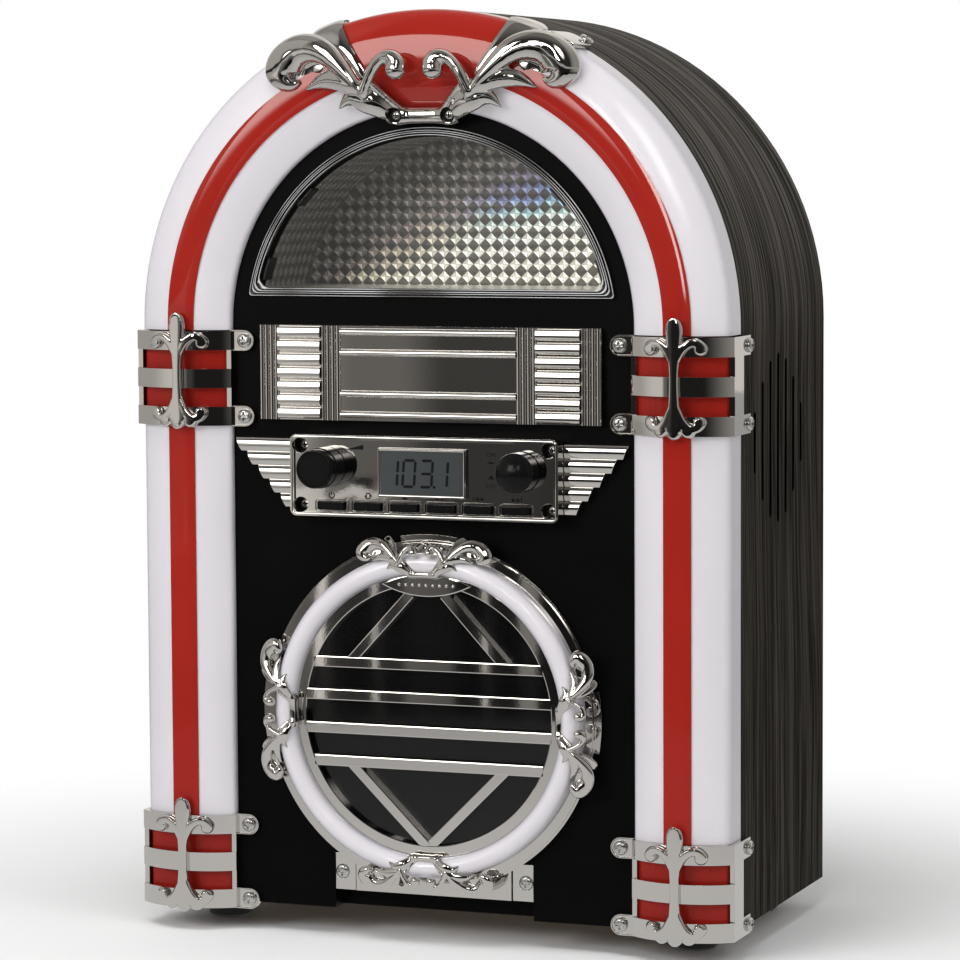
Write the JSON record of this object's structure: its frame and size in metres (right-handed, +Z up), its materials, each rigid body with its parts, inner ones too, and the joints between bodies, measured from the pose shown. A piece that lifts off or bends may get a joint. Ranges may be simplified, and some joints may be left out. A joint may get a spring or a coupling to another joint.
{
  "type": "mini cd jukebox",
  "caption": "Arched tabletop CD player styled as a jukebox: lit tubes, chrome brackets and crest, foil-lined window, control panel and a round door that tilts open.",
  "frame": {"origin": "on the floor, in the middle of the part's box", "axes": "+Z up, -Y towards the user in front, +X to the right as seen from the front"},
  "size_m": [0.2868, 0.1676, 0.4141],
  "materials": {
    "wood": "dark ash veneer, open grain",
    "raw_wood": "raw board",
    "back_board": "black hardboard",
    "foot_rubber": "matte",
    "black_gloss": "piano black",
    "white_tube": "milky translucent",
    "red_tube": "translucent",
    "chrome": "mirror, plated plastic",
    "screw_steel": "bright zinc",
    "clear": "clear",
    "smoked": "smoked",
    "black_plastic": "matte",
    "prism": "prismatic foil",
    "lcd": "grey display",
    "board": "circuit board",
    "pot_metal": "satin",
    "core_steel": "laminated",
    "knob_black": "satin black",
    "button_black": "satin black"
  },
  "bodies": {
    "body": {"cabinet_shell": "wood", "base_board": "raw_wood", "back_panel": "back_board", "rubber_feet": "foot_rubber", "front_panel": "black_gloss", "left_arch_tube": "white_tube", "right_arch_tube": "white_tube", "left_column_tube": "white_tube", "right_column_tube": "white_tube", "crown_lens": "red_tube", "arch_stripes": "red_tube", "column_stripes": "red_tube", "light_strips": "board", "upper_left_bracket": "chrome", "upper_right_bracket": "chrome", "lower_left_bracket": "chrome", "lower_right_bracket": "chrome", "bracket_sleeves": "red_tube", "fleur_ornaments": "chrome", "crest": "chrome", "case_screws": "screw_steel", "window_lens": "clear", "window_tray": "black_plastic", "prism_foil": "prism", "title_plate": "chrome", "left_wing": "chrome", "right_wing": "chrome", "control_housing": "chrome", "lcd_panel": "lcd", "control_board": "board", "volume_pot": "pot_metal", "light_switch": "black_plastic", "cd_well": "black_plastic", "deck_chassis": "pot_metal", "spindle_motor": "pot_metal", "sled_rails": "screw_steel", "main_board": "board", "transformer": "core_steel", "left_speaker": "black_plastic", "right_speaker": "black_plastic", "power_inlet": "black_plastic", "hinge_blocks": "chrome", "door_latch": "black_plastic"},
    "door": {"door_frame": "chrome", "door_light_ring": "white_tube", "door_grille": "chrome", "door_window": "smoked", "door_ornaments": "chrome", "hinge_pin": "screw_steel"},
    "volume_knob": {"volume_knob": "knob_black"},
    "light_button": {"light_button": "knob_black"},
    "power_button": {"power_button": "button_black"},
    "repeat_button": {"repeat_button": "button_black"},
    "stop_button": {"stop_button": "button_black"},
    "play_button": {"play_button": "button_black"},
    "back_button": {"back_button": "button_black"},
    "next_button": {"next_button": "button_black"},
    "turntable": {"turntable": "black_plastic"},
    "laser_pickup": {"laser_pickup": "black_plastic"}
  },
  "joints": [
    {"name": "door_hinge", "type": "hinge", "parent": "body", "child": "door", "pos_m": [0, -0.0552, 0.027], "axis": [1, 0, 0], "range_deg": [0, 40]},
    {"name": "volume_turn", "type": "hinge", "parent": "body", "child": "volume_knob", "pos_m": [-0.046, -0.0752, 0.2126], "axis": [0, 1, 0], "range_deg": [-150, 150]},
    {"name": "light_push", "type": "slide", "parent": "body", "child": "light_button", "axis": [0, 1, 0], "range_m": [0, 0.003], "stiffness_N_per_m": 700, "springref_m": -0.001},
    {"name": "power_push", "type": "slide", "parent": "body", "child": "power_button", "axis": [0, 1, 0], "range_m": [0, 0.0008], "stiffness_N_per_m": 1200, "springref_m": -0.0003},
    {"name": "repeat_push", "type": "slide", "parent": "body", "child": "repeat_button", "axis": [0, 1, 0], "range_m": [0, 0.0008], "stiffness_N_per_m": 1200, "springref_m": -0.0003},
    {"name": "stop_push", "type": "slide", "parent": "body", "child": "stop_button", "axis": [0, 1, 0], "range_m": [0, 0.0008], "stiffness_N_per_m": 1200, "springref_m": -0.0003},
    {"name": "play_push", "type": "slide", "parent": "body", "child": "play_button", "axis": [0, 1, 0], "range_m": [0, 0.0008], "stiffness_N_per_m": 1200, "springref_m": -0.0003},
    {"name": "back_push", "type": "slide", "parent": "body", "child": "back_button", "axis": [0, 1, 0], "range_m": [0, 0.0008], "stiffness_N_per_m": 1200, "springref_m": -0.0003},
    {"name": "next_push", "type": "slide", "parent": "body", "child": "next_button", "axis": [0, 1, 0], "range_m": [0, 0.0008], "stiffness_N_per_m": 1200, "springref_m": -0.0003},
    {"name": "disc_spin", "type": "hinge", "parent": "body", "child": "turntable", "pos_m": [0, -0.0392, 0.1027], "axis": [0, -1, 0], "continuous": true},
    {"name": "pickup_slide", "type": "slide", "parent": "body", "child": "laser_pickup", "axis": [1, 0, 0], "range_m": [0, 0.034]}
  ]
}
